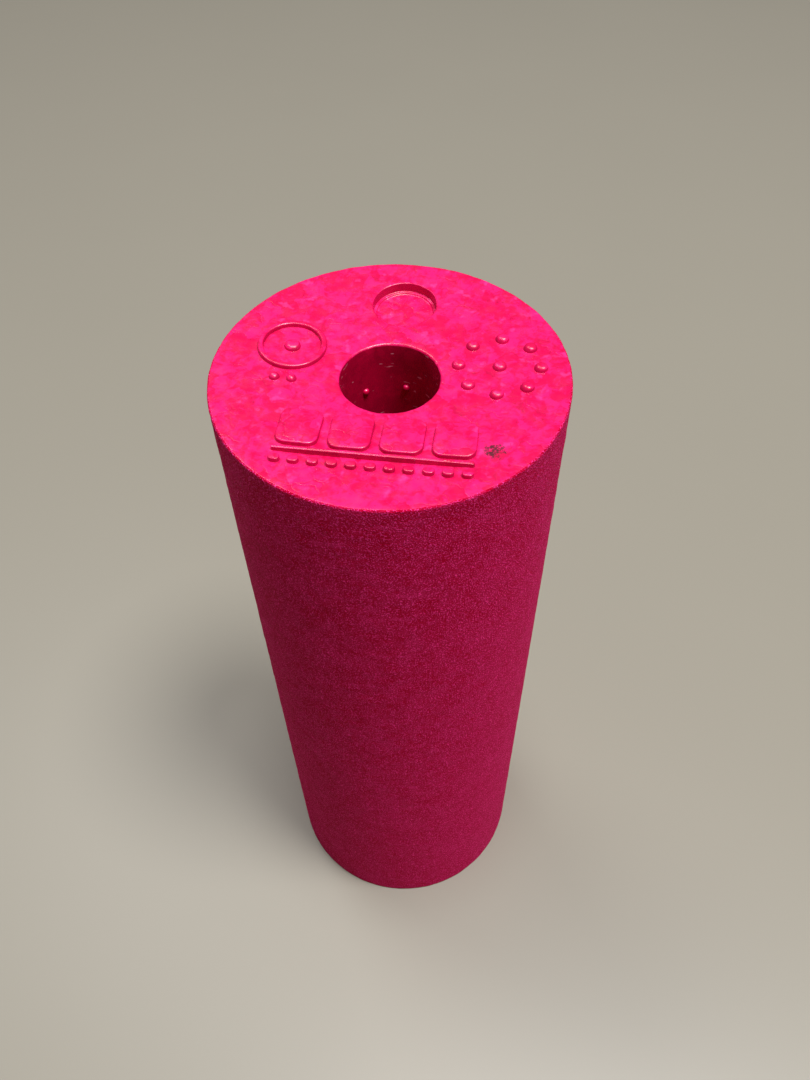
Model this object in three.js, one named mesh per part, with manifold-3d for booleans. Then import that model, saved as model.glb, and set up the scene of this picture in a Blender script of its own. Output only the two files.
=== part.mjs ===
// A small massage roller: one moulding of expanded bead foam, standing on its plain end.
// Millimetres, +Z up. The origin is the middle of the plain end, on the surface that it stands on.
// The steam mould fuses the beads round a core pin, so the wall, both ends, the bore, the filling
// port's recess and the raised marks are one piece of foam.

import * as THREE from 'three';
import { mergeVertices } from 'three/addons/utils/BufferGeometryUtils.js';
import Module from 'manifold-3d';

// ---- driving dimensions of the roller ----
const rollerDiameter = 54;
const rollerLength = 150;
const boreDiameter = 15;
const rimRadius = 0.4;           // rounding of both outer edges
const boreLipRadius = 0.4;       // rounding of both ends of the bore
const faceSink = 1;              // how far the marked end falls from its rim to the bore

// ---- filling port: the round recess that the bead injector leaves in the marked end ----
const portDiameter = 10;
const portDepth = 1.8;
const portInset = 0.3;           // how far the port sits inside the face band's middle

// ---- vent nubs: bumps that the core pin's steam vents leave on the bore's wall ----
const ventCount = 7;
const ventDiameter = 1.2;
const ventHeight = 0.55;
const ventFromEnd = 8.6;
const ventStartDegrees = 28;

// ---- raised marks on the marked end ----
const markHeight = 0.7;
const markInset = 0.8;           // how far the ring and the rosette sit inside the face band's middle

// Left of the bore: a plain ring round a pip, with a pair of pips in front of it.
const ringDiameter = 10.6;
const ringStroke = 0.9;
const ringDegrees = 163;
const ringPipDiameter = 2.6;
const pairPipDiameter = 1.7;
const pairPipSpacing = 2.6;
const pairFromRing = 1;

// Right of the bore: a rosette of plain pips.
const rosetteDegrees = 13;
const rosetteCount = 8;
const rosettePipDiameter = 2.2;
const rosetteFromBore = 1.3;

// In front of the bore: a row of pads, a straight rib and a row of dashes.
const rowLength = 28.3;
const rowFromRim = 2.3;
const padCount = 4;
const padGap = 1.2;
const barCornerRadius = 1.6;
const cornerStraight = 0.05;
const padFromBore = 1.1;
const padFromRib = 0.7;
const ribWidth = 0.7;
const ribFromDashes = 0.9;
const dashCount = 11;
const dashLength = 1.7;
const dashWidth = 1.3;

// ---- fineness of the round surfaces ----
const turnSegments = 96;
const rimSteps = 3;
const lipSteps = 2;
const curveSteps = 4;
const pipSteps = 8;
const ventSegments = 10;
const ventRings = 6;

// ---- places worked out from the sizes above ----
const outerRadius = rollerDiameter / 2;
const boreRadius = boreDiameter / 2;
const faceRadius = outerRadius - rimRadius;
const lipRadius = boreRadius + boreLipRadius;
const bandMiddle = (faceRadius + lipRadius) / 2;
const markCircle = bandMiddle - markInset;
const portCircle = bandMiddle - portInset;
const sunkHeight = rollerLength - faceSink;
const markRoot = markHeight;     // how deep each mark is rooted in the foam below the face

const rowReach = faceRadius - rowFromRim;
const rowFront = -Math.sqrt(rowReach ** 2 - (rowLength / 2) ** 2);
const dashMiddle = rowFront + dashWidth / 2;
const ribMiddle = dashMiddle + dashWidth / 2 + ribFromDashes + ribWidth / 2;
const padFront = ribMiddle + ribWidth / 2 + padFromRib;
const padBack = -(lipRadius + padFromBore);
const padDepth = padBack - padFront;
const padWidth = (rowLength - (padCount - 1) * padGap) / padCount;

const foamMaterial = new THREE.MeshStandardMaterial({ color: 0xf0246c, roughness: 0.55, metalness: 0 });

const wasm = await Module();
wasm.setup();

// ---- solids in and out of the boolean library ----

function toSolid(geometry) {
  const bare = geometry.clone();
  bare.deleteAttribute('normal');
  bare.deleteAttribute('uv');
  const merged = mergeVertices(bare, 1e-4);
  const vertProperties = new Float32Array(merged.attributes.position.array);
  const triVerts = new Uint32Array(merged.index.array);
  return new wasm.Manifold(new wasm.Mesh({ numProp: 3, vertProperties, triVerts }));
}

function toGeometry(solid) {
  const mesh = solid.getMesh();
  const geometry = new THREE.BufferGeometry();
  geometry.setAttribute('position', new THREE.BufferAttribute(mesh.vertProperties, 3));
  geometry.setIndex(new THREE.BufferAttribute(mesh.triVerts, 1));
  geometry.computeVertexNormals();
  return geometry;
}

function joined(solids) {
  return solids.reduce((whole, solid) => whole.add(solid));
}

// ---- outlines ----

function arcPoints(centreX, centreY, radius, fromDegrees, toDegrees, steps) {
  const points = [];
  for (let step = 0; step <= steps; step += 1) {
    const angle = THREE.MathUtils.degToRad(fromDegrees + (toDegrees - fromDegrees) * step / steps);
    points.push(new THREE.Vector2(centreX + radius * Math.cos(angle), centreY + radius * Math.sin(angle)));
  }
  return points;
}

function discShape(diameter) {
  const shape = new THREE.Shape();
  shape.absarc(0, 0, diameter / 2, 0, Math.PI * 2);
  return shape;
}

function ringShape(diameter, stroke) {
  const shape = discShape(diameter);
  shape.holes.push(discShape(diameter - 2 * stroke));
  return shape;
}

// The corners' rounding is limited by the bar's own width and depth, less a short straight between them.
function roundedBarShape(width, depth) {
  const radius = Math.min(barCornerRadius, width / 2 - cornerStraight, depth / 2 - cornerStraight);
  const x = width / 2 - radius;
  const y = depth / 2 - radius;
  return new THREE.Shape([
    ...arcPoints(x, y, radius, 0, 90, curveSteps),
    ...arcPoints(-x, y, radius, 90, 180, curveSteps),
    ...arcPoints(-x, -y, radius, 180, 270, curveSteps),
    ...arcPoints(x, -y, radius, 270, 360, curveSteps),
  ]);
}

// A solid of revolution about +Z from a closed outline of (radius, height) points.
function turned(outline) {
  const geometry = new THREE.LatheGeometry([...outline, outline[0]], turnSegments);
  geometry.rotateX(Math.PI / 2);
  return toSolid(geometry);
}

// ---- the blank, the port and the vents ----

function blankOutline() {
  const bottomLip = arcPoints(lipRadius, boreLipRadius, boreLipRadius, 180, 270, lipSteps);
  const bottomRim = arcPoints(faceRadius, rimRadius, rimRadius, -90, 0, rimSteps);
  const topRim = arcPoints(faceRadius, rollerLength - rimRadius, rimRadius, 0, 90, rimSteps);
  const topLip = arcPoints(lipRadius, sunkHeight - boreLipRadius, boreLipRadius, 90, 180, lipSteps);
  return [...bottomLip, ...bottomRim, ...topRim, ...topLip];
}

function portCut() {
  const cut = new THREE.CylinderGeometry(portDiameter / 2, portDiameter / 2, rollerLength, turnSegments / 2);
  cut.rotateX(Math.PI / 2);
  const faceHeight = sunkHeight + faceSink * (portCircle - lipRadius) / (faceRadius - lipRadius);
  cut.translate(0, portCircle, faceHeight - portDepth + rollerLength / 2);
  return toSolid(cut);
}

// A nub is the part of a small ball that stands proud of the bore's wall.
function ventNubs() {
  const ballRadius = ((ventDiameter / 2) ** 2 + ventHeight ** 2) / (2 * ventHeight);
  const nubs = [];
  for (const height of [ventFromEnd, sunkHeight - ventFromEnd]) {
    for (let index = 0; index < ventCount; index += 1) {
      const turn = THREE.MathUtils.degToRad(ventStartDegrees + 360 * index / ventCount);
      const ball = new THREE.SphereGeometry(ballRadius, ventSegments, ventRings);
      ball.translate(boreRadius - ventHeight + ballRadius, 0, height);
      ball.rotateZ(turn);
      nubs.push(toSolid(ball));
    }
  }
  return joined(nubs);
}

// ---- the raised marks ----

// A mark is made tall and straight here, well past the mark layer on both sides. The layer then
// trims it to follow the sunk face.
function tallMark(shape, x, y) {
  const spare = markHeight + markRoot;
  const tall = new THREE.ExtrudeGeometry(shape, {
    depth: faceSink + 2 * spare,
    bevelEnabled: false,
    curveSegments: pipSteps,
  });
  tall.translate(x, y, sunkHeight - spare);
  return toSolid(tall);
}

function markLayer() {
  return turned([
    new THREE.Vector2(lipRadius, sunkHeight - markRoot),
    new THREE.Vector2(faceRadius, rollerLength - markRoot),
    new THREE.Vector2(faceRadius, rollerLength + markHeight),
    new THREE.Vector2(lipRadius, sunkHeight + markHeight),
  ]);
}

function placeOnCircle(degrees) {
  const turn = THREE.MathUtils.degToRad(degrees);
  return new THREE.Vector2(markCircle * Math.cos(turn), markCircle * Math.sin(turn));
}

function ringMark() {
  const centre = placeOnCircle(ringDegrees);
  const pairY = centre.y - ringDiameter / 2 - pairFromRing - pairPipDiameter / 2;
  return [
    tallMark(ringShape(ringDiameter, ringStroke), centre.x, centre.y),
    tallMark(discShape(ringPipDiameter), centre.x, centre.y),
    tallMark(discShape(pairPipDiameter), centre.x - pairPipSpacing / 2, pairY),
    tallMark(discShape(pairPipDiameter), centre.x + pairPipSpacing / 2, pairY),
  ];
}

function rosetteMark() {
  const centre = placeOnCircle(rosetteDegrees);
  const radius = markCircle - lipRadius - rosetteFromBore - rosettePipDiameter / 2;
  const marks = [tallMark(discShape(rosettePipDiameter), centre.x, centre.y)];
  for (let index = 0; index < rosetteCount; index += 1) {
    const turn = Math.PI * 2 * index / rosetteCount;
    const x = centre.x + radius * Math.cos(turn);
    const y = centre.y + radius * Math.sin(turn);
    marks.push(tallMark(discShape(rosettePipDiameter), x, y));
  }
  return marks;
}

// Equal bars side by side, filling the row's length from end to end.
function barRow(count, barWidth, barDepth, y) {
  const pitch = (rowLength - barWidth) / (count - 1);
  const bars = [];
  for (let index = 0; index < count; index += 1) {
    const x = -rowLength / 2 + barWidth / 2 + pitch * index;
    bars.push(tallMark(roundedBarShape(barWidth, barDepth), x, y));
  }
  return bars;
}

function rowMarks() {
  return [
    ...barRow(padCount, padWidth, padDepth, (padBack + padFront) / 2),
    tallMark(roundedBarShape(rowLength, ribWidth), 0, ribMiddle),
    ...barRow(dashCount, dashLength, dashWidth, dashMiddle),
  ];
}

// ---- the roller ----

function rollerBody() {
  const blank = turned(blankOutline());
  const marks = joined([...ringMark(), ...rosetteMark(), ...rowMarks()]);
  const moulding = blank.add(marks.intersect(markLayer())).add(ventNubs()).subtract(portCut());
  const mesh = new THREE.Mesh(toGeometry(moulding), foamMaterial);
  mesh.name = 'roller_body';
  return mesh;
}

const roller = new THREE.Group();
roller.add(rollerBody());

export default roller;
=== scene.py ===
"""A small massage roller of moulded bead foam, laid out as an add-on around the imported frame.

The roller is one moulding. Its blank is a spun wall section, the raised marks and the vent nubs
are joined to it, the filling port is cut out of it, and the foam's relief is pressed into it last.
"""

import math
from typing import NamedTuple

import bmesh
import bpy
from bpy.props import FloatProperty, FloatVectorProperty, IntProperty, PointerProperty
from mathutils import Matrix, Vector, noise


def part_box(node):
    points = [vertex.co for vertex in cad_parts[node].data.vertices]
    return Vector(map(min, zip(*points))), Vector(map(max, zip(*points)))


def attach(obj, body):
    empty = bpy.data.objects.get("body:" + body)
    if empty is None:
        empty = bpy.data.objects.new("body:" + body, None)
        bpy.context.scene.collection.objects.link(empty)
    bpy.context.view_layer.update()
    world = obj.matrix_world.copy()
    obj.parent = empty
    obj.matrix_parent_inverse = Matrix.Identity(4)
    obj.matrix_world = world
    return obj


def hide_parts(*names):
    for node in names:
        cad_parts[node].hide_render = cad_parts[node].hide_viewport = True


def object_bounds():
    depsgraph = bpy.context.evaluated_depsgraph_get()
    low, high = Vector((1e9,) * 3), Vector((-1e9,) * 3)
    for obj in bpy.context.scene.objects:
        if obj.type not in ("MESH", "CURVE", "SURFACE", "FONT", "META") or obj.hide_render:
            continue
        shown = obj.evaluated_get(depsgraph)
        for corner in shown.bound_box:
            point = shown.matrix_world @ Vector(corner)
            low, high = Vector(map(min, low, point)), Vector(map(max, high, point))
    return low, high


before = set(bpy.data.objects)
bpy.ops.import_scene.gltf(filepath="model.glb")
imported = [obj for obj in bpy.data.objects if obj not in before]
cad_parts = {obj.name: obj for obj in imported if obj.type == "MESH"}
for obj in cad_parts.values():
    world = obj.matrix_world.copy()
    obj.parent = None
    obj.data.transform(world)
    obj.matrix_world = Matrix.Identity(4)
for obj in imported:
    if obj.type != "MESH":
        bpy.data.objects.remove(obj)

bl_info = {
    "name": "Bead Foam Roller",
    "version": (1, 0, 0),
    "blender": (4, 5, 0),
    "location": "View3D > Sidebar > Roller",
    "description": "Builds a small moulded bead-foam massage roller and its studio",
    "category": "Object",
}

BODY_NODE = "roller_body"
MARKS_NAME = "raised_marks"
CAD_LOW, CAD_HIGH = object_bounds()
NODE_LOW, NODE_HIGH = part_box(BODY_NODE)
FULL_TURN = 2 * math.pi
QUARTER_TURN = math.pi / 2
ROLLER_AXIS = (0, 0, 1)

# Fineness of the rounded shapes.
RIM_STEPS = 6
LIP_STEPS = 4
ARC_STEPS = 4
EDGE_STEPS = 4
CORNER_STEPS = 7
PIP_AROUND = 28
PIP_STEPS = 5
RING_AROUND = 72
NUB_SUBDIVISIONS = 3
FLOOR_SQUARES = 4

# A pip's rounding is a share of its height. A bar's is at most a share of its width and depth.
PIP_ROUNDING = 0.55
CORNER_LIMIT = 0.49

# How far the step round the port's floor leans before it turns level again.
STEP_TURN = math.radians(60)

# Points closer than this are one point, and a point this close to the floor stands on it.
WELD_DISTANCE = 1e-7
FLOOR_TOUCH = 1e-6

# A face is upright when its normal rises less than UPRIGHT. The wall's finish goes further, over
# the rim's rounding, to where the normal rises to RIM_TOP. Edges that turn more than CREASE are sharp.
UPRIGHT = 0.7
RIM_TOP = 0.96
CREASE = math.radians(40)

# The foam's relief. The seed is fixed, so that every run presses the same relief. The widths of
# the noises and WARP_PUSH are in beads, and SWELL_DEPTH is a share of the relief's depth. A point
# is out of a seam when it is SEAM_PART of a bead nearer to one bead's centre than to the next.
RELIEF_SEED = 7
WARP_BEADS = 0.8
WARP_PUSH = 0.25
SWELL_BEADS = 2.2
SWELL_DEPTH = 0.6
WANDER_BEADS = 0.6
SEAM_PART = 0.35

# The order of the foam's finishes on the body's material slots.
WALL_FINISH = 0
END_FINISH = 1
BORE_FINISH = 2
# The last slot is painted shade for the upright sides.
SHADED_SIDE_FINISH = 3


def length(name, description, default):
    """A size in metres, shown in the scene's own length unit."""
    return FloatProperty(
        name=name,
        description=description,
        default=default,
        min=0.0,
        precision=5,
        subtype="DISTANCE",
        unit="LENGTH",
    )


def turn(name, description, degrees):
    """An angle, given in degrees and kept in radians."""
    return FloatProperty(
        name=name,
        description=description,
        default=math.radians(degrees),
        subtype="ANGLE",
        unit="ROTATION",
    )


def number(name, description, default, least):
    """A whole number of things or steps."""
    return IntProperty(name=name, description=description, default=default, min=least)


def lamp_power(name, description, default):
    """A lamp's power in watts."""
    return FloatProperty(name=name, description=description, default=default, min=0.0, unit="POWER")


def colour(name, description, default):
    """A linear colour."""
    return FloatVectorProperty(
        name=name,
        description=description,
        default=default,
        size=3,
        min=0.0,
        max=1.0,
        subtype="COLOR",
    )


class RollerSizes(bpy.types.PropertyGroup):
    """Sizes of the moulding."""

    bore_diameter: length("Bore", "Diameter of the bore", 0.015)
    rim_radius: length("Rim rounding", "Rounding of both outer edges", 0.0004)
    lip_radius: length("Lip rounding", "Rounding of both ends of the bore", 0.0004)
    face_sink: length("Face sink", "Fall of the marked end from rim to bore", 0.001)
    mark_height: length("Mark height", "Height of the raised marks", 0.0007)
    port_diameter: length("Port", "Diameter of the filling port's recess", 0.010)
    port_depth: length("Port depth", "Depth of the filling port's recess", 0.0018)
    port_inset: length("Port inset", "The port sits this far inside the band's middle", 0.0003)
    port_lip: length("Port lip", "Rounding of the port's upper edge", 0.00022)
    port_ledge: length("Port ledge", "Width of the flat ledge round the port's floor", 0.00015)
    port_step: length("Port step", "How far the ledge stands above the port's floor", 0.00025)
    vent_diameter: length("Vent nub", "Diameter of a vent nub", 0.0012)
    vent_height: length("Vent nub height", "How far a vent nub stands off the bore", 0.00055)
    vent_from_end: length("Vents from end", "From a bore's end to its ring of nubs", 0.0086)
    vent_start: turn("Vent start", "Turn of the first nub round the bore", 28)
    vent_count: number("Vents", "Nubs in each ring", 7, 1)
    port_steps: number("Port steps", "Steps round the port", 96, 24)
    around: number("Steps around", "Steps round the wall", 240, 24)
    wall_step: length("Wall step", "Spacing of the rows on the outer wall", 0.0008)
    end_step: length("End step", "Spacing of the rings on both ends", 0.0006)
    bore_step: length("Bore step", "Spacing of the rows in the bore", 0.0025)


class RollerMarks(bpy.types.PropertyGroup):
    """Sizes and places of the raised marks."""

    inset: length("Inset", "Round marks sit this far inside the band's middle", 0.0008)
    edge: length("Edge", "Rounding of the marks' upper edges", 0.0003)
    ring_diameter: length("Ring", "Outer diameter of the ring", 0.0106)
    ring_stroke: length("Ring stroke", "Width of the ring's wall", 0.0009)
    ring_turn: turn("Ring place", "Place of the ring round the face", 163)
    ring_pip: length("Ring pip", "Diameter of the pip in the ring", 0.0026)
    pair_pip: length("Pair pip", "Diameter of each pip of the pair", 0.0017)
    pair_spacing: length("Pair spacing", "Between the pair's centres", 0.0026)
    pair_gap: length("Pair gap", "Between the ring and the pair", 0.001)
    rosette_turn: turn("Rosette place", "Place of the rosette round the face", 13)
    rosette_count: number("Rosette pips", "Pips round the rosette", 8, 3)
    rosette_pip: length("Rosette pip", "Diameter of each rosette pip", 0.0022)
    rosette_gap: length("Rosette gap", "Between the rosette and the bore's lip", 0.0013)
    row_length: length("Row length", "Length of the rows", 0.0283)
    row_margin: length("Row margin", "Between the rows' front corners and the rim", 0.0023)
    pad_count: number("Pads", "Pads in the row", 4, 2)
    pad_gap: length("Pad gap", "Between pads", 0.0012)
    pad_corner: length("Pad corner", "Rounding of the pads' corners", 0.0016)
    pad_from_bore: length("Pads from bore", "Between the pads and the bore's lip", 0.0011)
    pad_from_rib: length("Pads from rib", "Between the pads and the rib", 0.0007)
    rib_width: length("Rib width", "Width of the straight rib", 0.0007)
    rib_from_dashes: length("Rib from dashes", "Between the rib and the dashes", 0.0009)
    dash_count: number("Dashes", "Dashes in the row", 11, 2)
    dash_length: length("Dash length", "Length of a dash", 0.0017)
    dash_width: length("Dash width", "Width of a dash", 0.0013)


class RollerFoam(bpy.types.PropertyGroup):
    """Colours and grain of the foam."""

    deep: colour("Deep bead", "The most saturated beads", (0.62, 0.0, 0.066))
    light: colour("Light bead", "The palest beads", (0.84, 0.008, 0.145))
    wall_deep: colour("Wall, deep", "The wall between its grains", (0.48, 0.0, 0.024))
    # Partly the paler tips of the grain, partly painted glints: the tips' highlights are painted in this
    # pale colour.
    wall_pale_glint: colour("Wall, light", "The tips of the wall's grains", (1.0, 0.045, 0.31))
    # Partly the bore's own deep red, partly painted shade: darker than the ends, for the shade inside the
    # bore.
    bore_shade_colour: colour("Bore", "The skin of the bore", (0.42, 0.0006, 0.032))
    # Painted shade: a darker red that stands in for the shade on the upright sides of the port and the
    # marks.
    side_shade_colour: colour("Side", "The upright sides of the port and the marks", (0.5, 0.0, 0.06))
    # Partly pale skin, partly painted highlight: pale patches that stand in for glossy glints on the ends.
    pale_bloom_glint: colour("Bloom", "Pale patches on the skin of the ends", (0.95, 0.045, 0.28))
    fleck: colour("Fleck", "Pale flecks scraped across the bore", (0.95, 0.3, 0.45))
    scuff: colour("Scuff", "A grey scuff on the marked end", (0.035, 0.012, 0.014))
    bead_size: length("Bead", "Width of a bead", 0.0030)
    bead_relief: length("Bead relief", "Depth of the seams between beads", 0.00005)
    wander: length("Wander", "How far the surface wanders from its true place", 0.00003)
    grain_size: length("Grain", "Width of a grain on the wall", 0.00023)
    grain_depth: length("Grain depth", "Depth of the wall's grain", 0.00025)


class RollerStage(bpy.types.PropertyGroup):
    """Studio floor, lights and camera."""

    floor_colour: colour("Floor", "Colour of the plain floor", (0.282, 0.26, 0.214))
    floor_span: length("Floor span", "Width of the floor", 6.0)
    sky_colour: colour("Sky", "Colour of the soft light all round", (1.0, 0.985, 0.95))
    sky_strength: FloatProperty(name="Sky strength", description="Strength of the soft light", default=0.1)
    over_power: lamp_power("Overhead power", "Power of the softbox above", 10.5)
    right_power: lamp_power("Right power", "Power of the softbox up to the right", 18.0)
    left_power: lamp_power("Left power", "Power of the softbox up behind, to the left", 5.0)
    azimuth: turn("Camera azimuth", "Camera's place round the roller", 8.62)
    elevation: turn("Camera elevation", "Camera's angle above the floor", 51.54)
    roll: turn("Camera roll", "Camera's turn about its own view", -1.354)
    distance: length("Camera distance", "From the camera to its aim", 0.1681)
    aim_side: length("Aim side", "How far the aim is to the right of the axis", 0.0017)
    aim_height: length("Aim height", "Height of the aim above the floor", 0.1103)
    focal: FloatProperty(
        name="Focal length", description="Focal length of the camera", default=30.9, min=1.0, unit="CAMERA"
    )


class Softbox(NamedTuple):
    """A round area light. Its power is given by the name of the stage's property for it."""

    name: str
    power: str
    width: float
    place: tuple


SOFTBOXES = (
    Softbox("overhead_softbox", "over_power", 0.35, (0.05, -0.08, 1.6)),
    Softbox("right_softbox", "right_power", 0.4, (0.44, -0.16, 1.43)),
    Softbox("left_softbox", "left_power", 0.5, (-0.5, 0.4, 1.3)),
)
SENSOR_WIDTH = 36.0


# ---- places worked out from the frame and the sizes ----


class FaceLayout:
    """Radii and heights of the moulding, from the CAD box and the sizes."""

    def __init__(self, sizes, marks):
        self.outer = NODE_HIGH.x
        self.bore = sizes.bore_diameter / 2
        self.face = self.outer - sizes.rim_radius
        self.lip = self.bore + sizes.lip_radius
        self.mark_circle = (self.face + self.lip) / 2 - marks.inset
        self.port = (self.face + self.lip) / 2 - sizes.port_inset
        self.sink = sizes.face_sink
        self.skin_depth = sizes.lip_radius / 2
        self.top = NODE_HIGH.z - self.highest_mark(sizes, marks)
        self.bottom = NODE_LOW.z

    def highest_mark(self, sizes, marks):
        """How far the highest mark, at the rows' front corners, stands above the rim."""
        return sizes.mark_height - self.sink * marks.row_margin / (self.face - self.lip)

    def fall(self, radius):
        """How far the marked end has fallen below the rim at a radius."""
        inside = min(max(self.face - radius, 0.0), self.face - self.lip)
        return self.sink * inside / (self.face - self.lip)

    def place(self, angle):
        """A centre on the circle of round marks."""
        return Vector((self.mark_circle * math.cos(angle), self.mark_circle * math.sin(angle), 0))


# ---- closed shapes for the marks, each from one bmesh outline ----


def unique(items):
    """Each item once, in the order that they come, so that every run builds alike."""
    return list(dict.fromkeys(items))


def raise_outline(bm, faces, height, edge, steps):
    """Turns flat faces at zero height into a closed block with a rounded upper edge."""
    raised = bmesh.ops.extrude_face_region(bm, geom=faces)["geom"]
    tops = [item for item in raised if isinstance(item, bmesh.types.BMFace)]
    verts = unique(vert for face in tops for vert in face.verts)
    bmesh.ops.translate(bm, verts=verts, vec=(0, 0, height))
    rim = unique(e for face in tops for e in face.edges if not all(f in tops for f in e.link_faces))
    bmesh.ops.bevel(
        bm,
        geom=rim,
        offset=edge,
        segments=steps,
        affect="EDGES",
        profile=0.5,
        material=-1,
        clamp_overlap=True,
    )


def add_pip(bm, centre, diameter, height):
    """A low round button."""
    made = bmesh.ops.create_circle(
        bm, cap_ends=True, segments=PIP_AROUND, radius=diameter / 2, matrix=Matrix.Translation(centre)
    )
    faces = unique(face for vert in made["verts"] for face in vert.link_faces)
    raise_outline(bm, faces, height, height * PIP_ROUNDING, PIP_STEPS)


def add_ring(bm, centre, diameter, stroke, height, edge):
    """A flat ring with rounded upper edges."""
    place = Matrix.Translation(centre)
    edges = []
    for radius in (diameter / 2, diameter / 2 - stroke):
        made = bmesh.ops.create_circle(
            bm, cap_ends=False, segments=RING_AROUND, radius=radius, matrix=place
        )
        edges += unique(e for vert in made["verts"] for e in vert.link_edges)
    faces = bmesh.ops.bridge_loops(bm, edges=edges)["faces"]
    raise_outline(bm, faces, height, edge, EDGE_STEPS)


def add_bar(bm, centre, width, depth, corner, height, edge):
    """A flat bar with rounded corners and rounded upper edges."""
    size = Matrix.Diagonal((width, depth, 1, 1))
    made = bmesh.ops.create_grid(
        bm, x_segments=1, y_segments=1, size=0.5, matrix=Matrix.Translation(centre) @ size
    )
    rounding = min(corner, width * CORNER_LIMIT, depth * CORNER_LIMIT)
    rounded = bmesh.ops.bevel(
        bm,
        geom=made["verts"],
        offset=rounding,
        segments=CORNER_STEPS,
        affect="VERTICES",
        profile=0.5,
        material=-1,
    )
    faces = unique(face for vert in rounded["verts"] for face in vert.link_faces)
    raise_outline(bm, faces, height, edge, EDGE_STEPS)


def add_bar_row(bm, marks, count, width, depth, corner, y, height):
    """Equal bars side by side, filling the row's length."""
    pitch = (marks.row_length - width) / (count - 1)
    for index in range(count):
        x = -marks.row_length / 2 + width / 2 + pitch * index
        add_bar(bm, Vector((x, y, 0)), width, depth, corner, height, marks.edge)


def add_ring_group(bm, layout, marks, height):
    """The ring, the pip in it and the pair of pips in front of it."""
    centre = layout.place(marks.ring_turn)
    add_ring(bm, centre, marks.ring_diameter, marks.ring_stroke, height, marks.edge)
    add_pip(bm, centre, marks.ring_pip, height)
    pair_y = centre.y - marks.ring_diameter / 2 - marks.pair_gap - marks.pair_pip / 2
    for side in (-1, 1):
        place = Vector((centre.x + side * marks.pair_spacing / 2, pair_y, 0))
        add_pip(bm, place, marks.pair_pip, height)


def add_rosette(bm, layout, marks, height):
    """A pip with a circle of pips round it."""
    centre = layout.place(marks.rosette_turn)
    add_pip(bm, centre, marks.rosette_pip, height)
    radius = layout.mark_circle - layout.lip - marks.rosette_gap - marks.rosette_pip / 2
    for index in range(marks.rosette_count):
        angle = FULL_TURN * index / marks.rosette_count
        arm = Vector((radius * math.cos(angle), radius * math.sin(angle), 0))
        add_pip(bm, centre + arm, marks.rosette_pip, height)


def add_rows(bm, layout, marks, height):
    """The pads, the straight rib and the dashes, from the bore towards the rim."""
    reach = layout.face - marks.row_margin
    front = -math.sqrt(reach**2 - (marks.row_length / 2) ** 2)
    dash_y = front + marks.dash_width / 2
    rib_y = dash_y + marks.dash_width / 2 + marks.rib_from_dashes + marks.rib_width / 2
    pad_front = rib_y + marks.rib_width / 2 + marks.pad_from_rib
    pad_back = -(layout.lip + marks.pad_from_bore)
    pad_width = (marks.row_length - (marks.pad_count - 1) * marks.pad_gap) / marks.pad_count
    pad_depth = pad_back - pad_front
    pad_y = (pad_back + pad_front) / 2
    add_bar_row(bm, marks, marks.pad_count, pad_width, pad_depth, marks.pad_corner, pad_y, height)
    add_bar(
        bm, Vector((0, rib_y, 0)), marks.row_length, marks.rib_width, marks.pad_corner, height, marks.edge
    )
    add_bar_row(
        bm, marks, marks.dash_count, marks.dash_length, marks.dash_width, marks.pad_corner, dash_y, height
    )


# ---- the blank, the port and the vents ----


def wall_section(layout, sizes):
    """Half of the roller cut along its axis: a rounded four-sided outline in the XZ plane."""
    bm = bmesh.new()
    low_bore = bm.verts.new((layout.bore, 0, layout.bottom))
    low_rim = bm.verts.new((layout.outer, 0, layout.bottom))
    high_rim = bm.verts.new((layout.outer, 0, layout.top))
    high_bore = bm.verts.new((layout.bore, 0, layout.top - layout.sink))
    bm.faces.new((low_bore, low_rim, high_rim, high_bore))
    for verts, radius, steps in (
        ((low_rim, high_rim), sizes.rim_radius, RIM_STEPS),
        ((low_bore, high_bore), sizes.lip_radius, LIP_STEPS),
    ):
        bmesh.ops.bevel(
            bm,
            geom=list(verts),
            offset=radius,
            segments=steps,
            affect="VERTICES",
            profile=0.5,
            material=-1,
        )
    # The four straight sides are the outline's longest edges.
    for edge in sorted(bm.edges, key=lambda e: e.calc_length(), reverse=True)[:4]:
        middle = (edge.verts[0].co + edge.verts[1].co) / 2
        step = sizes.end_step
        if abs(middle.x - layout.outer) < sizes.rim_radius:
            step = sizes.wall_step
        elif abs(middle.x - layout.bore) < sizes.lip_radius:
            step = sizes.bore_step
        bmesh.ops.subdivide_edges(bm, edges=[edge], cuts=round(edge.calc_length() / step))
    bmesh.ops.delete(bm, geom=list(bm.faces), context="FACES_ONLY")
    return bm


def make_blank(layout, sizes):
    """The plain moulding, before its marks: the wall section spun round the axis."""
    bm = wall_section(layout, sizes)
    bmesh.ops.spin(
        bm,
        geom=list(bm.verts) + list(bm.edges),
        cent=(0, 0, 0),
        axis=ROLLER_AXIS,
        angle=FULL_TURN,
        steps=sizes.around,
        use_merge=True,
    )
    bmesh.ops.recalc_face_normals(bm, faces=list(bm.faces))
    return object_from(bm, "roller_foam")


def arc(out, up, radius, start, end):
    """Points of a section's arc, from one angle to the other."""
    angles = (start + (end - start) * step / ARC_STEPS for step in range(ARC_STEPS + 1))
    return [(out + radius * math.cos(angle), up + radius * math.sin(angle)) for angle in angles]


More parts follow.
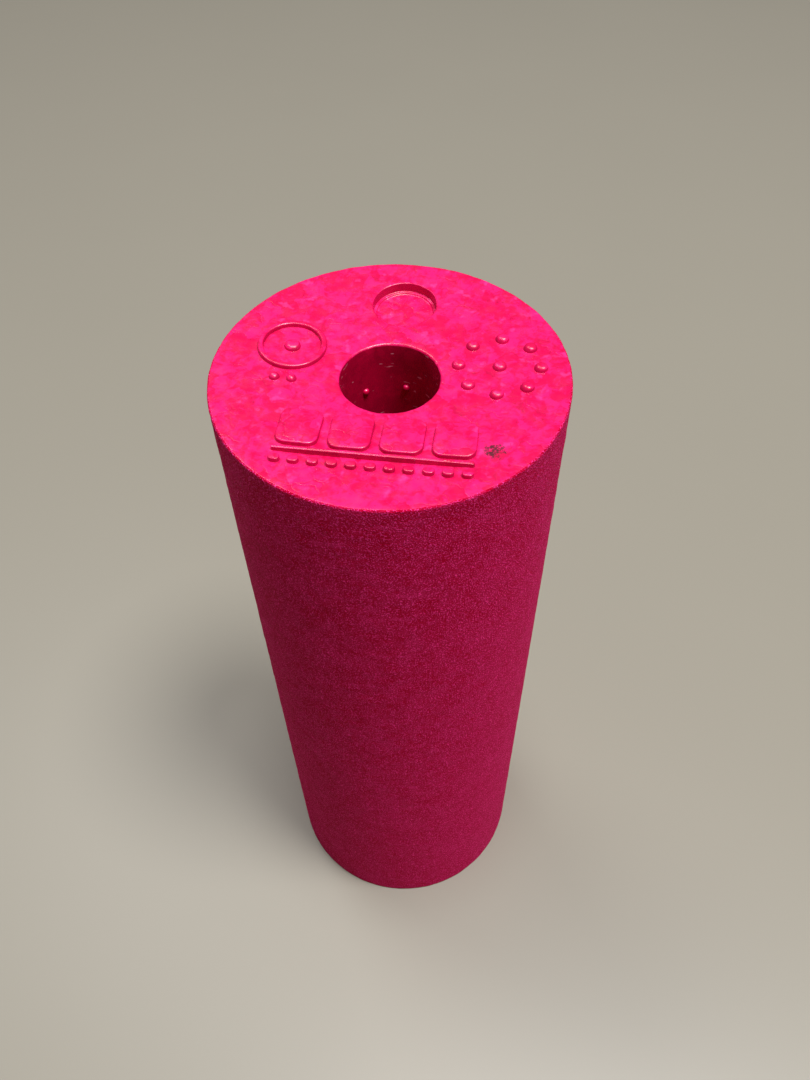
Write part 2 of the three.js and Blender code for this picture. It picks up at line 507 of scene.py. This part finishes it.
def port_section(sizes):
    """Half of the port's recess cut along its axis: floor, step, ledge, wall and rounded lip."""
    radius = sizes.port_diameter / 2
    lip = sizes.port_lip
    step = sizes.port_step
    floor = -sizes.port_depth
    ledge = floor + step
    wall_foot = radius - step / 2
    step_top = wall_foot - sizes.port_ledge
    step_foot = step_top - 2 * step * math.sin(STEP_TURN)
    floor_rings = round(2 * step_foot / sizes.end_step)
    return [
        *((step_foot * ring / floor_rings, floor) for ring in range(floor_rings)),
        *arc(step_foot, floor + step, step, -QUARTER_TURN, -QUARTER_TURN + STEP_TURN),
        *arc(step_top, ledge - step, step, QUARTER_TURN + STEP_TURN, QUARTER_TURN),
        *arc(wall_foot, ledge + step / 2, step / 2, -QUARTER_TURN, 0),
        *arc(radius + lip, -lip, lip, math.pi, QUARTER_TURN),
        (radius + 2 * lip, lip),
        (radius + 2 * lip, sizes.port_depth),
        (0, sizes.port_depth),
    ]


def make_port_cutter(layout, sizes):
    """A plug the shape of the filling port's recess, standing square to the sloping face."""
    bm = bmesh.new()
    verts = [bm.verts.new((out, 0, up)) for out, up in port_section(sizes)]
    edges = [bm.edges.new(pair) for pair in zip(verts, verts[1:])]
    bmesh.ops.spin(
        bm,
        geom=verts + edges,
        cent=(0, 0, 0),
        axis=ROLLER_AXIS,
        angle=FULL_TURN,
        steps=sizes.port_steps,
        use_merge=True,
    )
    bmesh.ops.remove_doubles(bm, verts=list(bm.verts), dist=WELD_DISTANCE)
    bmesh.ops.recalc_face_normals(bm, faces=list(bm.faces))
    slope = math.atan(sizes.face_sink / (layout.face - layout.lip))
    place = Matrix.Translation((0, layout.port, layout.top - layout.fall(layout.port)))
    bmesh.ops.transform(bm, verts=list(bm.verts), matrix=place @ Matrix.Rotation(slope, 4, "X"))
    return object_from(bm, "port_cutter")


def add_vents(bm, layout, sizes):
    """Small balls sunk into the bore's wall, in a ring near each end."""
    ball = ((sizes.vent_diameter / 2) ** 2 + sizes.vent_height**2) / (2 * sizes.vent_height)
    top = layout.top - layout.sink - sizes.vent_from_end
    for height in (layout.bottom + sizes.vent_from_end, top):
        for index in range(sizes.vent_count):
            angle = sizes.vent_start + FULL_TURN * index / sizes.vent_count
            out = Matrix.Translation((layout.bore - sizes.vent_height + ball, 0, height))
            place = Matrix.Rotation(angle, 4, "Z") @ out
            bmesh.ops.create_icosphere(bm, subdivisions=NUB_SUBDIVISIONS, radius=ball, matrix=place)


# ---- joining, cutting and relief ----


def object_from(bm, name):
    """A mesh object at the origin that holds the bmesh."""
    mesh = bpy.data.meshes.new(name)
    bm.to_mesh(mesh)
    bm.free()
    obj = bpy.data.objects.new(name, mesh)
    bpy.context.scene.collection.objects.link(obj)
    return obj


def combine(body, tool, operation):
    """Joins the tool to the body or cuts it out of it, then removes the tool."""
    modifier = body.modifiers.new(tool.name, "BOOLEAN")
    modifier.operation = operation
    modifier.solver = "EXACT"
    modifier.object = tool
    depsgraph = bpy.context.evaluated_depsgraph_get()
    combined = bpy.data.meshes.new_from_object(body.evaluated_get(depsgraph))
    body.modifiers.clear()
    old = body.data
    body.data = combined
    bpy.data.meshes.remove(old)
    tool_mesh = tool.data
    bpy.data.objects.remove(tool)
    bpy.data.meshes.remove(tool_mesh)


def bead_seam(point, bead_size):
    """From 0 in the seam between two beads to 1 on a bead."""
    distances = noise.voronoi(point / bead_size, distance_metric="DISTANCE")[0]
    gap = min((distances[1] - distances[0]) / SEAM_PART, 1.0)
    return gap * gap * (3 - 2 * gap)


def press_relief(bm, foam):
    """Presses the seams between the beads into the surface and lets it wander a little."""
    noise.seed_set(RELIEF_SEED)
    moves = []
    bead = foam.bead_size
    for vert in bm.verts:
        bent = vert.co + noise.noise_vector(vert.co / (bead * WARP_BEADS)) * bead * WARP_PUSH
        seam = bead_seam(bent, bead) - 1.0
        swell = noise.noise(vert.co / (bead * SWELL_BEADS))
        drift = noise.noise_vector(vert.co / (bead * WANDER_BEADS)) * foam.wander
        depth = foam.bead_relief * (seam + SWELL_DEPTH * swell)
        moves.append(vert.normal * depth + drift)
    for vert, move in zip(bm.verts, moves):
        if vert.co.z < CAD_LOW.z + FLOOR_TOUCH:
            move.z = 0.0
        vert.co += move


def keep_in_box(bm):
    """Keeps every point between the CAD model's lowest and highest."""
    for vert in bm.verts:
        vert.co.z = min(max(vert.co.z, CAD_LOW.z), CAD_HIGH.z)


def assign_finishes(bm, layout):
    """Gives the wall, the ends and the bore their own finishes, and paints shade on the upright sides. The
    bore's finish holds painted shade too.
    """
    for face in bm.faces:
        face.smooth = True
        centre = face.calc_center_median()
        radius = math.hypot(centre.x, centre.y)
        upright = abs(face.normal.z) < UPRIGHT
        sunk = centre.z < layout.top - layout.fall(radius) - layout.skin_depth
        if radius > layout.face and abs(face.normal.z) < RIM_TOP:
            face.material_index = WALL_FINISH
        elif upright and radius < layout.lip:
            face.material_index = BORE_FINISH if sunk else END_FINISH
        elif upright:
            # Upright sides of the port and the marks get painted shade, a darker colour for the shade they
            # lie in.
            face.material_index = SHADED_SIDE_FINISH
        else:
            face.material_index = END_FINISH


def mark_sharp_edges(bm):
    """Keeps the roots of the marks crisp."""
    for edge in bm.edges:
        if edge.calc_face_angle(0.0) > CREASE:
            edge.smooth = False


# ---- materials ----


class Specks(NamedTuple):
    """Spots where a noise of this size in metres is high: from none at low to full strength at high."""

    size: float
    detail: float
    rough: float
    low: float
    high: float
    strength: float


# The end skin's pale patches, part pale skin and part painted glossy highlight, and its dark pits, the
# wall's rubbed patches and the bore's scraped flecks.
BLOOM_AND_GLINT = Specks(size=0.0019, detail=2.0, rough=0.5, low=0.6, high=0.74, strength=0.5)
PITS = Specks(size=0.0005, detail=2.0, rough=0.6, low=0.63, high=0.72, strength=0.6)
RUBS = Specks(size=0.006, detail=4.0, rough=0.6, low=0.58, high=0.72, strength=0.2)
FLECKS = Specks(size=0.0007, detail=1.0, rough=0.5, low=0.71, high=0.77, strength=0.75)

# The scuff's place on the marked end, from the axis, and how its specks crowd towards its middle.
SCUFF_SIDE = 0.0166
SCUFF_FRONT = 0.0141
SCUFF_REACH = 0.0032
SCUFF_CROWDING = 0.34
SCUFF_STRENGTH = 0.92

# The colour channels of a noise rise and fall about this middle.
NOISE_MIDDLE = (0.5, 0.5, 0.5)

# The mottle: its noises in beads, and how much of it comes from each bead's own shade.
MOTTLE_WARP_BEADS = 0.7
MOTTLE_WARP_PUSH = 0.9
MOTTLE_CLOUD_BEADS = 0.5
MOTTLE_BEAD_SHARE = 0.2

# The end skin's seams: their width, the width of the patches that show them, and how dark they are.
SEAM_WIDTH = 0.09
SEAM_PATCH_BEADS = 1.6
SEAM_SHADE = 0.35

# How much of the wall's tone comes from its grain, whose tips carry painted glints, and from its mottle.
WALL_GRAIN_SHARE = 0.88
WALL_MOTTLE_SHARE = 0.12

# A skin's second colour, as a multiple of its first.
END_DARKENING = 0.6
BORE_PALING = 1.25
SIDE_PALING = 1.2
FLOOR_PALING = 1.04

# Scales along each axis: above 1 packs a pattern closer, below 1 draws it out.
RUB_SCALE = (1.0, 1.0, 3.0)
FLECK_SCALE = (0.45, 0.45, 1.6)
DRAW_LINE_SCALE = (1.0, 1.0, 0.12)

# The range that most of a soft noise lies in, and most of the wall's grain.
NOISE_RANGE = (0.3, 0.7)
GRAIN_RANGE = (0.35, 0.65)

# Reflectivity of each skin, and its roughness at the low and high ends of its noise's range.
END_SPECULAR = 0.5
END_ROUGHNESS = (0.26, 0.37)
WALL_SPECULAR = 0.02
WALL_ROUGHNESS = (0.85, 0.6)
BORE_SPECULAR = 0.6
BORE_ROUGHNESS = (0.24, 0.28)
SIDE_SPECULAR = 0.6
SIDE_ROUGHNESS = 0.3
FLOOR_ROUGHNESS = 0.4

# The faint fuzz of the wall.
SHEEN_WEIGHT = 0.2
SHEEN_ROUGHNESS = 0.45
SHEEN_TINT = (1.0, 0.05, 0.32, 1.0)


def new_material(name):
    """A material with its shader, and the place that its patterns are read from."""
    material = bpy.data.materials.new(name)
    material.use_nodes = True
    shader = material.node_tree.nodes["Principled BSDF"]
    place = material.node_tree.nodes.new("ShaderNodeTexCoord")
    return material, shader, place.outputs["Object"]


def link(tree, source, target):
    """Joins an output to an input."""
    tree.links.new(source, target)


def multiple_of(base, factor):
    """The colour times a factor, no brighter than white."""
    return tuple(min(channel * factor, 1.0) for channel in base)


def noise_node(tree, vector, size, detail, rough):
    """Noise whose features are about the given size in metres."""
    node = tree.nodes.new("ShaderNodeTexNoise")
    node.inputs["Scale"].default_value = 1 / size
    node.inputs["Detail"].default_value = detail
    node.inputs["Roughness"].default_value = rough
    link(tree, vector, node.inputs["Vector"])
    return node


def noise_at(tree, vector, size, detail=2.0, rough=0.5):
    """How high the noise is, from 0 to 1."""
    return noise_node(tree, vector, size, detail, rough).outputs["Fac"]


def beads_at(tree, vector, size, feature):
    """Voronoi cells of about the given size in metres."""
    node = tree.nodes.new("ShaderNodeTexVoronoi")
    node.feature = feature
    node.inputs["Scale"].default_value = 1 / size
    link(tree, vector, node.inputs["Vector"])
    return node


def warped(tree, vector, size, amount):
    """The coordinates, pushed about by noise."""
    push = noise_node(tree, vector, size, detail=2.0, rough=0.5)
    centred = tree.nodes.new("ShaderNodeVectorMath")
    centred.operation = "SUBTRACT"
    link(tree, push.outputs["Color"], centred.inputs[0])
    centred.inputs[1].default_value = NOISE_MIDDLE
    scaled = tree.nodes.new("ShaderNodeVectorMath")
    scaled.operation = "SCALE"
    link(tree, centred.outputs["Vector"], scaled.inputs[0])
    scaled.inputs["Scale"].default_value = amount
    moved = tree.nodes.new("ShaderNodeVectorMath")
    moved.operation = "ADD"
    link(tree, vector, moved.inputs[0])
    link(tree, scaled.outputs["Vector"], moved.inputs[1])
    return moved.outputs["Vector"]


def stretched(tree, vector, scale):
    """The coordinates, scaled along each axis."""
    node = tree.nodes.new("ShaderNodeMapping")
    node.inputs["Scale"].default_value = scale
    link(tree, vector, node.inputs["Vector"])
    return node.outputs["Vector"]


def maths(tree, operation, first, second):
    """One Math node. The second input is a socket or a number."""
    node = tree.nodes.new("ShaderNodeMath")
    node.operation = operation
    link(tree, first, node.inputs[0])
    if isinstance(second, float):
        node.inputs[1].default_value = second
    else:
        link(tree, second, node.inputs[1])
    return node.outputs[0]


def remap(tree, value, low, high, to_low=0.0, to_high=1.0):
    """A clamped, eased change of range."""
    node = tree.nodes.new("ShaderNodeMapRange")
    node.interpolation_type = "SMOOTHSTEP"
    node.inputs["From Min"].default_value = low
    node.inputs["From Max"].default_value = high
    node.inputs["To Min"].default_value = to_low
    node.inputs["To Max"].default_value = to_high
    link(tree, value, node.inputs["Value"])
    return node.outputs["Result"]


def speckle(tree, vector, specks):
    """From 0 between the specks to their strength on them."""
    peaks = noise_at(tree, vector, specks.size, specks.detail, specks.rough)
    return maths(tree, "MULTIPLY", remap(tree, peaks, specks.low, specks.high), specks.strength)


def blend_colours(tree, factor, first, second):
    """Mixes two colours. Each is a socket or a linear colour."""
    node = tree.nodes.new("ShaderNodeMix")
    node.data_type = "RGBA"
    link(tree, factor, node.inputs["Factor"])
    for name, value in (("A", first), ("B", second)):
        socket = next(s for s in node.inputs if s.name == name and s.type == "RGBA")
        if hasattr(value, "is_linked"):
            link(tree, value, socket)
        else:
            socket.default_value = (*value, 1.0)
    return next(s for s in node.outputs if s.type == "RGBA")


def bumped(tree, height, distance, strength, under=None):
    """A bump, laid over another one where there is one."""
    node = tree.nodes.new("ShaderNodeBump")
    node.inputs["Strength"].default_value = strength
    node.inputs["Distance"].default_value = distance
    link(tree, height, node.inputs["Height"])
    if under is not None:
        link(tree, under, node.inputs["Normal"])
    return node.outputs["Normal"]


def bead_mottle(tree, place, foam):
    """How pale the foam is, bead by bead, with soft clouds across them, and the bent coordinates."""
    bead = foam.bead_size
    bent = warped(tree, place, bead * MOTTLE_WARP_BEADS, bead * MOTTLE_WARP_PUSH)
    cells = beads_at(tree, bent, bead, "F1")
    split = tree.nodes.new("ShaderNodeSeparateColor")
    link(tree, cells.outputs["Color"], split.inputs["Color"])
    clouds = noise_at(tree, bent, bead * MOTTLE_CLOUD_BEADS, detail=5.0, rough=0.65)
    shade = maths(tree, "MULTIPLY", split.outputs["Red"], MOTTLE_BEAD_SHARE)
    return remap(tree, maths(tree, "ADD", shade, clouds), low=0.47, high=0.74), bent


def bead_seams(tree, place, bent, foam):
    """From 1 in a seam between beads to 0 on a bead, in patches."""
    edges = beads_at(tree, bent, foam.bead_size, "DISTANCE_TO_EDGE")
    seams = remap(tree, edges.outputs["Distance"], 0.0, SEAM_WIDTH, to_low=1.0, to_high=0.0)
    patches = noise_at(tree, place, foam.bead_size * SEAM_PATCH_BEADS)
    return maths(tree, "MULTIPLY", seams, remap(tree, patches, low=0.4, high=0.62))


def end_material(foam, layout):
    """The smoother, mottled skin of the ends."""
    material, shader, place = new_material("foam_end_skin")
    shader.inputs["Specular IOR Level"].default_value = END_SPECULAR
    tree = material.node_tree
    mottle, bent = bead_mottle(tree, place, foam)
    seams = bead_seams(tree, place, bent, foam)
    dark = multiple_of(foam.deep, END_DARKENING)
    skin = blend_colours(tree, mottle, foam.deep, foam.light)
    skin = blend_colours(tree, maths(tree, "MULTIPLY", seams, SEAM_SHADE), skin, dark)
    # Pale patches on the ends: part pale skin, part painted highlight.
    skin = blend_colours(tree, speckle(tree, place, BLOOM_AND_GLINT), skin, foam.pale_bloom_glint)
    skin = blend_colours(tree, speckle(tree, place, PITS), skin, dark)
    skin = blend_colours(tree, scuff_mask(tree, place, layout), skin, foam.scuff)
    link(tree, skin, shader.inputs["Base Color"])
    peel = noise_at(tree, place, size=0.0022)
    link(tree, remap(tree, peel, *NOISE_RANGE, *END_ROUGHNESS), shader.inputs["Roughness"])
    dimples = bumped(tree, peel, distance=0.00008, strength=0.6)
    sunk = maths(tree, "MULTIPLY", seams, -1.0)
    creased = bumped(tree, sunk, distance=0.00004, strength=0.5, under=dimples)
    link(tree, creased, shader.inputs["Normal"])
    return material


def scuff_mask(tree, place, layout):
    """A small grey scuff on the marked end, in front of the rosette: dense inside, broken outside."""
    height = layout.top - layout.fall(math.hypot(SCUFF_SIDE, SCUFF_FRONT))
    away = tree.nodes.new("ShaderNodeVectorMath")
    away.operation = "DISTANCE"
    link(tree, place, away.inputs[0])
    away.inputs[1].default_value = (SCUFF_SIDE, -SCUFF_FRONT, height)
    near = remap(tree, away.outputs["Value"], 0.0, SCUFF_REACH, to_low=1.0, to_high=0.0)
    specks = noise_at(tree, place, size=0.0006, detail=4.0, rough=0.75)
    crowding = maths(tree, "ADD", specks, maths(tree, "MULTIPLY", near, SCUFF_CROWDING))
    return maths(tree, "MULTIPLY", remap(tree, crowding, low=0.64, high=0.84), SCUFF_STRENGTH)


def wall_material(foam):
    """The matt, finely grained skin of the rolling wall, with painted glints on the tips of its grain."""
    material, shader, place = new_material("foam_wall_grain")
    shader.inputs["Specular IOR Level"].default_value = WALL_SPECULAR
    shader.inputs["Sheen Weight"].default_value = SHEEN_WEIGHT
    shader.inputs["Sheen Roughness"].default_value = SHEEN_ROUGHNESS
    shader.inputs["Sheen Tint"].default_value = SHEEN_TINT
    tree = material.node_tree
    mottle = bead_mottle(tree, place, foam)[0]
    grain = noise_at(tree, place, foam.grain_size, detail=1.0, rough=0.6)
    # The grain's tips are painted pale: painted glints on the grain.
    tips = maths(tree, "MULTIPLY", remap(tree, grain, low=0.54, high=0.65), WALL_GRAIN_SHARE)
    shade = maths(tree, "ADD", tips, maths(tree, "MULTIPLY", mottle, WALL_MOTTLE_SHARE))
    skin = blend_colours(tree, shade, foam.wall_deep, foam.wall_pale_glint)
    # Rubbed patches, paled with the same colour as the painted glints.
    rubbed = speckle(tree, stretched(tree, place, RUB_SCALE), RUBS)
    skin = blend_colours(tree, rubbed, skin, foam.wall_pale_glint)
    link(tree, skin, shader.inputs["Base Color"])
    link(tree, remap(tree, grain, *GRAIN_RANGE, *WALL_ROUGHNESS), shader.inputs["Roughness"])
    grained = bumped(tree, grain, distance=foam.grain_depth, strength=1.0)
    link(tree, grained, shader.inputs["Normal"])
    return material


def bore_material(foam):
    """The glossy skin that the core pin leaves, darkened with painted shade, with a few pale flecks
    scraped across it.
    """
    material, shader, place = new_material("foam_bore_skin")
    shader.inputs["Specular IOR Level"].default_value = BORE_SPECULAR
    tree = material.node_tree
    mottle = bead_mottle(tree, place, foam)[0]
    pale = multiple_of(foam.bore_shade_colour, BORE_PALING)
    skin = blend_colours(tree, mottle, foam.bore_shade_colour, pale)
    flecks = speckle(tree, stretched(tree, place, FLECK_SCALE), FLECKS)
    skin = blend_colours(tree, flecks, skin, foam.fleck)
    link(tree, skin, shader.inputs["Base Color"])
    along = stretched(tree, place, DRAW_LINE_SCALE)
    lines = noise_at(tree, along, size=0.0006, detail=3.0, rough=0.6)
    link(tree, remap(tree, lines, *NOISE_RANGE, *BORE_ROUGHNESS), shader.inputs["Roughness"])
    link(tree, bumped(tree, lines, distance=0.00003, strength=0.3), shader.inputs["Normal"])
    return material


def painted_shade_material(foam):
    """Painted shade on the upright sides of the port and the marks: a deep colour that stands in for the
    shade they lie in.
    """
    material, shader, place = new_material("foam_side_skin")
    shader.inputs["Specular IOR Level"].default_value = SIDE_SPECULAR
    shader.inputs["Roughness"].default_value = SIDE_ROUGHNESS
    tree = material.node_tree
    mottle = bead_mottle(tree, place, foam)[0]
    pale = multiple_of(foam.side_shade_colour, SIDE_PALING)
    skin = blend_colours(tree, mottle, foam.side_shade_colour, pale)
    link(tree, skin, shader.inputs["Base Color"])
    return material


def floor_material(stage):
    """A plain pale floor with the faintest unevenness."""
    material, shader, place = new_material("studio_floor")
    shader.inputs["Roughness"].default_value = FLOOR_ROUGHNESS
    tree = material.node_tree
    clouds = noise_at(tree, place, size=0.09, detail=3.0)
    pale = multiple_of(stage.floor_colour, FLOOR_PALING)
    skin = blend_colours(tree, clouds, stage.floor_colour, pale)
    link(tree, skin, shader.inputs["Base Color"])
    return material


# ---- operators ----


class ROLLER_OT_make_marks(bpy.types.Operator):
    """Make the raised marks of the marked end and the vent nubs of the bore"""

    bl_idname = "roller.make_marks"
    bl_label = "Make Raised Marks"

    def execute(self, context):
        sizes = context.scene.roller_sizes
        marks = context.scene.roller_marks
        layout = FaceLayout(sizes, marks)
        bm = bmesh.new()
        # Each block is rooted in the foam as deep as it stands out of it.
        block = 2 * sizes.mark_height
        add_ring_group(bm, layout, marks, block)
        add_rosette(bm, layout, marks, block)
        add_rows(bm, layout, marks, block)
        for vert in bm.verts:
            radius = math.hypot(vert.co.x, vert.co.y)
            vert.co.z += layout.top - layout.fall(radius) - sizes.mark_height
        add_vents(bm, layout, sizes)
        bmesh.ops.recalc_face_normals(bm, faces=list(bm.faces))
        object_from(bm, MARKS_NAME)
        return {"FINISHED"}


class ROLLER_OT_make_body(bpy.types.Operator):
    """Make the moulded body from its blank, its marks and its filling port"""

    bl_idname = "roller.make_body"
    bl_label = "Make Foam Body"

    def execute(self, context):
        sizes = context.scene.roller_sizes
        marks = context.scene.roller_marks
        foam = context.scene.roller_foam
        layout = FaceLayout(sizes, marks)
        body = make_blank(layout, sizes)
        combine(body, bpy.data.objects[MARKS_NAME], "UNION")
        combine(body, make_port_cutter(layout, sizes), "DIFFERENCE")
        body.data.materials.clear()
        for material in (
            wall_material(foam),
            end_material(foam, layout),
            bore_material(foam),
            painted_shade_material(foam),
        ):
            body.data.materials.append(material)
        bm = bmesh.new()
        bm.from_mesh(body.data)
        bm.normal_update()
        assign_finishes(bm, layout)
        mark_sharp_edges(bm)
        press_relief(bm, foam)
        keep_in_box(bm)
        bm.to_mesh(body.data)
        bm.free()
        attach(body, "root")
        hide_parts(BODY_NODE)
        return {"FINISHED"}


class ROLLER_OT_make_stage(bpy.types.Operator):
    """Make the studio floor, the soft lights and the camera"""

    bl_idname = "roller.make_stage"
    bl_label = "Make Studio"

    def execute(self, context):
        stage = context.scene.roller_stage
        self.make_floor(stage)
        self.make_sky(context.scene, stage)
        for softbox in SOFTBOXES:
            self.make_light(softbox, getattr(stage, softbox.power))
        self.make_camera(context.scene, stage)
        return {"FINISHED"}

    def make_floor(self, stage):
        """A plain square floor under the roller."""
        bm = bmesh.new()
        bmesh.ops.create_grid(
            bm, x_segments=FLOOR_SQUARES, y_segments=FLOOR_SQUARES, size=stage.floor_span / 2
        )
        bmesh.ops.translate(bm, verts=list(bm.verts), vec=(0, 0, CAD_LOW.z))
        floor = object_from(bm, "studio_floor")
        floor.data.materials.append(floor_material(stage))

    def make_sky(self, scene, stage):
        """Soft light from all round."""
        scene.world = bpy.data.worlds.new("studio_sky")
        scene.world.use_nodes = True
        background = scene.world.node_tree.nodes["Background"]
        background.inputs["Color"].default_value = (*stage.sky_colour, 1.0)
        background.inputs["Strength"].default_value = stage.sky_strength

    def make_light(self, softbox, power):
        """One softbox, turned to the roller's middle."""
        data = bpy.data.lights.new(softbox.name, "AREA")
        data.shape = "DISK"
        data.size = softbox.width
        data.energy = power
        lamp = bpy.data.objects.new(softbox.name, data)
        lamp.location = softbox.place
        aim = Vector((0, 0, CAD_HIGH.z / 2)) - lamp.location
        lamp.rotation_mode = "QUATERNION"
        lamp.rotation_quaternion = aim.to_track_quat("-Z", "Y")
        bpy.context.scene.collection.objects.link(lamp)

    def make_camera(self, scene, stage):
        """The camera, looking at a point on the roller."""
        back = Vector(
            (
                math.sin(stage.azimuth) * math.cos(stage.elevation),
                -math.cos(stage.azimuth) * math.cos(stage.elevation),
                math.sin(stage.elevation),
            )
        )
        data = bpy.data.cameras.new("studio_camera")
        data.lens = stage.focal
        data.sensor_width = SENSOR_WIDTH
        camera = bpy.data.objects.new("studio_camera", data)
        camera.location = Vector((stage.aim_side, 0, stage.aim_height)) + back * stage.distance
        facing = (-back).to_track_quat("-Z", "Y").to_matrix().to_4x4()
        roll = Matrix.Rotation(stage.roll, 4, "Z")
        camera.rotation_mode = "QUATERNION"
        camera.rotation_quaternion = (facing @ roll).to_quaternion()
        scene.collection.objects.link(camera)
        scene.camera = camera


class ROLLER_PT_panel(bpy.types.Panel):
    """Sizes, colours and builders of the roller"""

    bl_idname = "ROLLER_PT_panel"
    bl_label = "Bead Foam Roller"
    bl_space_type = "VIEW_3D"
    bl_region_type = "UI"
    bl_category = "Roller"

    def draw(self, context):
        layout = self.layout
        for group in (
            context.scene.roller_sizes,
            context.scene.roller_marks,
            context.scene.roller_foam,
            context.scene.roller_stage,
        ):
            box = layout.box()
            for name in group.__annotations__:
                box.prop(group, name)
        for operator in (ROLLER_OT_make_marks, ROLLER_OT_make_body, ROLLER_OT_make_stage):
            layout.operator(operator.bl_idname)


CLASSES = (
    RollerSizes,
    RollerMarks,
    RollerFoam,
    RollerStage,
    ROLLER_OT_make_marks,
    ROLLER_OT_make_body,
    ROLLER_OT_make_stage,
    ROLLER_PT_panel,
)


def register():
    """Registers the classes and hangs their properties on the scene."""
    for cls in CLASSES:
        bpy.utils.register_class(cls)
    bpy.types.Scene.roller_sizes = PointerProperty(type=RollerSizes)
    bpy.types.Scene.roller_marks = PointerProperty(type=RollerMarks)
    bpy.types.Scene.roller_foam = PointerProperty(type=RollerFoam)
    bpy.types.Scene.roller_stage = PointerProperty(type=RollerStage)


def unregister():
    """Takes the properties off the scene and unregisters the classes."""
    del bpy.types.Scene.roller_stage
    del bpy.types.Scene.roller_foam
    del bpy.types.Scene.roller_marks
    del bpy.types.Scene.roller_sizes
    for cls in reversed(CLASSES):
        bpy.utils.unregister_class(cls)


def main():
    """Builds the stage, the marks and the body."""
    register()
    bpy.context.scene.view_settings.view_transform = "Standard"
    bpy.ops.roller.make_stage()
    bpy.ops.roller.make_marks()
    bpy.ops.roller.make_body()


if __name__ == "__main__":
    main()
